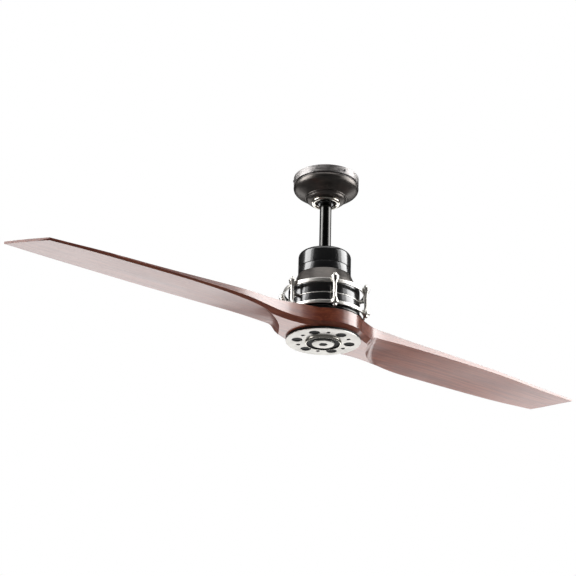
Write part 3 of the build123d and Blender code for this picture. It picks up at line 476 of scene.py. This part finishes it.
def turned_drum():
    """The motor's two cups, open to each other, and the band round their joint."""
    wall, rolled_rim = 1.6, 1.8
    low, high, radius = extent("drum_upper")
    top_hole, roof = 24.0, high - 2.4
    inner = radius - wall
    lathe("drum_upper", [
        (top_hole, high, 0.3), (radius, high, rolled_rim), (radius, low, 0.3), (inner, low, 0.2),
        (inner, roof, 0.6), (top_hole, roof, 0.3),
    ])
    low, high, radius = extent("drum_band")
    band_bore = radius - wall - 0.9
    lathe("drum_band", [
        (radius, high, 0.8), (radius, low, 0.8), (band_bore, low, 0.1), (band_bore, high, 0.1),
    ])
    low, high, radius = extent("drum_lower")
    foot_hole, floor = 46.0, low + 2
    inner = radius - wall
    lathe("drum_lower", [
        (radius, high, 0.3), (radius, low, rolled_rim), (foot_hole, low, 0.4), (foot_hole, floor, 0.4),
        (inner, floor, 0.6), (inner, high, 0.2),
    ])


def turned_hoops():
    """The two drum hoops, with rolled edges."""
    wall, roll = 3.6, 1.3
    for node in ("upper_hoop", "lower_hoop"):
        low, high, radius = extent(node)
        inner = radius - wall
        lathe(node, [(radius, high, roll), (radius, low, roll), (inner, low, roll), (inner, high, roll)])


def turned_hub_parts():
    """The carrier and gasket above the wood; below the face plate, the boss and a thin sheet that darkens
    its groove.
    """
    low, high, radius = extent("blade_carrier")
    bore = 9.0
    lathe("blade_carrier", [(radius, high, 1.2), (radius, low, 1.2), (bore, low, 0.3), (bore, high, 0.3)])
    low, high, radius = extent("hub_gasket")
    bore = 28.0
    lathe("hub_gasket", [(radius, high, 0.5), (radius, low, 0.5), (bore, low, 0.2), (bore, high, 0.2)])
    low, high, radius = extent("hub_boss")
    plate_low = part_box("face_plate")[0].z / MM
    lip, wall, bore, spigot_r = 39.2, 1.8, 13.0, 19.9
    floor, lip_foot = plate_low - 1.9, low + 0.3
    lathe("hub_boss", [
        (bore, high, 0.3), (spigot_r, high, 0.3), (spigot_r, plate_low, 0.0), (radius, plate_low, 0.1),
        (radius, plate_low - 1, 0.5), (lip, lip_foot, 0.6), (lip - wall / 2, low, 0.4),
        (lip - wall, lip_foot, 0.3), (lip - wall, floor, 0.1), (bore, floor, 0.2),
    ])
    low, high, radius = extent("groove_ring")
    # A sheet 0.8 mm thick over the groove's roof and outer wall: in its dark finish it makes the groove
    # below the face plate dark.
    cap_r, liner = 25.0, 0.8
    inner, roof = radius - liner, high - liner
    lathe("groove_ring", [
        (cap_r, high, 0.0), (radius, high, 0.0), (radius, low, 0.2), (inner, low, 0.2),
        (inner, roof, 0.3), (cap_r, roof, 0.1),
    ])


def turned_rod():
    low, high, radius = extent("downrod")
    pipe_wall = 2.35
    bore = radius - pipe_wall
    lathe("downrod", [(radius, high, 0.5), (radius, low, 0.5), (bore, low, 0.4), (bore, high, 0.4)])


for make_piece in (
    turned_canopy_rim, turned_housing, turned_skirt, turned_drum, turned_hoops, turned_hub_parts, turned_rod,
):
    make_piece()

for node in frame["nodes"]:
    if node not in TURNED_NODES:
        dress(node)

# ---- camera -------------------------------------------------------------------------------
EYE = Vector((-1.7832, -2.2979, -1.5133))
LENS, SENSOR_WIDTH = 87.89, 36
TURN_TO_BLADES = 0.66     # radians from the blades' X axis to the axes that YAW is measured in
YAW, PITCH, ROLL = -0.028, 0.402, 0.030
FAR_CLIP = 60
turn = Matrix.Rotation(-TURN_TO_BLADES, 3, "Z")
ahead = turn @ Vector((math.sin(YAW) * math.cos(PITCH), math.cos(YAW) * math.cos(PITCH), math.sin(PITCH)))
level = turn @ Vector((math.cos(YAW), -math.sin(YAW), 0))
above = level.cross(ahead)
right = level * math.cos(ROLL) + above * math.sin(ROLL)
up = above * math.cos(ROLL) - level * math.sin(ROLL)
camera = bpy.data.objects.new("camera", bpy.data.cameras.new("camera"))
camera.data.lens = LENS
camera.data.sensor_width = SENSOR_WIDTH
camera.matrix_world = Matrix.Translation(EYE) @ Matrix((right, up, -ahead)).transposed().to_4x4()
camera.data.clip_end = FAR_CLIP
bpy.context.scene.collection.objects.link(camera)
bpy.context.scene.camera = camera

# ---- light and stage ----------------------------------------------------------------------
FLOOR_Z = -2.4
FLOOR_HALF = 14.0
floor_place = Matrix.Translation((0, 0, FLOOR_Z))
floor_shape = bmesh.new()
bmesh.ops.create_grid(floor_shape, x_segments=2, y_segments=2, size=FLOOR_HALF, matrix=floor_place)
floor_mesh = bpy.data.meshes.new("floor")
floor_shape.to_mesh(floor_mesh)
floor_shape.free()
floor = bpy.data.objects.new("floor", floor_mesh)
bpy.context.scene.collection.objects.link(floor)


def pale_floor(web, shader):
    """A pale floor for the camera, which throws only a little light back up at the fan."""
    place = web.add("ShaderNodeTexCoord").outputs["Object"]
    pale = web.mix(web.noise(place, 3.0), (0.78, 0.78, 0.78, 1), (0.82, 0.82, 0.82, 1))
    seen = web.add("ShaderNodeLightPath").outputs["Is Camera Ray"]
    web.fill(shader, "Emission Color", web.mix(seen, (0.12, 0.12, 0.12, 1), pale))


floor_mesh.materials.append(material(
    "pale_floor", pale_floor, Base_Color=(0.03, 0.03, 0.03, 1), Emission_Strength=1.0, Roughness=1.0,
    Specular_IOR_Level=0.0,
))

world = bpy.data.worlds.new("studio")
bpy.context.scene.world = world
world.use_nodes = True
studio = Web(world.node_tree)
surround = world.node_tree.nodes["Background"]
seen = studio.add("ShaderNodeLightPath").outputs["Is Camera Ray"]
studio.fill(surround, "Color", studio.mix(seen, (0.03, 0.03, 0.03, 1), (1, 1, 1, 1)))


MOTOR_CENTRE = Vector((0, 0, -0.3))


def softbox(name, bearing, distance, height, size, power, diffuse=True, glossy=True):
    """A rectangular light facing the motor; bearing is degrees round the fan from the camera, rightwards."""
    lamp = bpy.data.lights.new(name, "AREA")
    lamp.shape = "RECTANGLE"
    lamp.size, lamp.size_y = size
    lamp.energy = power
    light = bpy.data.objects.new(name, lamp)
    toward = Matrix.Rotation(math.radians(bearing), 3, "Z") @ Vector((EYE.x, EYE.y, 0)).normalized()
    light.location = toward * distance + Vector((0, 0, height))
    aim = MOTOR_CENTRE - light.location
    light.rotation_mode = "QUATERNION"
    light.rotation_quaternion = aim.to_track_quat("-Z", "Y")
    light.visible_camera = False
    light.visible_diffuse = diffuse
    light.visible_glossy = glossy
    bpy.context.scene.collection.objects.link(light)


softbox("left_softbox", -78, 2.4, 0.55, (1.3, 2.8), 70, diffuse=False)
softbox("left_soft_edge", -74, 2.6, 0.55, (2.1, 2.8), 42, diffuse=False)
softbox("right_softbox", 94, 2.4, 0.55, (1.5, 2.8), 80, diffuse=False)
softbox("right_soft_edge", 84, 2.6, 0.55, (2.2, 2.8), 50, diffuse=False)
softbox("low_back_panel", 180, 4.0, -1.7, (8.0, 1.4), 72, diffuse=False)
softbox("uplight", 180, 1.4, -2.3, (5.0, 4.0), 290, glossy=False)
softbox("left_fill", -60, 3.5, 0.2, (2.5, 2.5), 70, glossy=False)
softbox("right_fill", 60, 3.5, 0.2, (2.5, 2.5), 70, glossy=False)
softbox("overhead", 0, 0.6, 3.0, (3.0, 3.0), 60)

bpy.context.scene.view_settings.view_transform = "Standard"
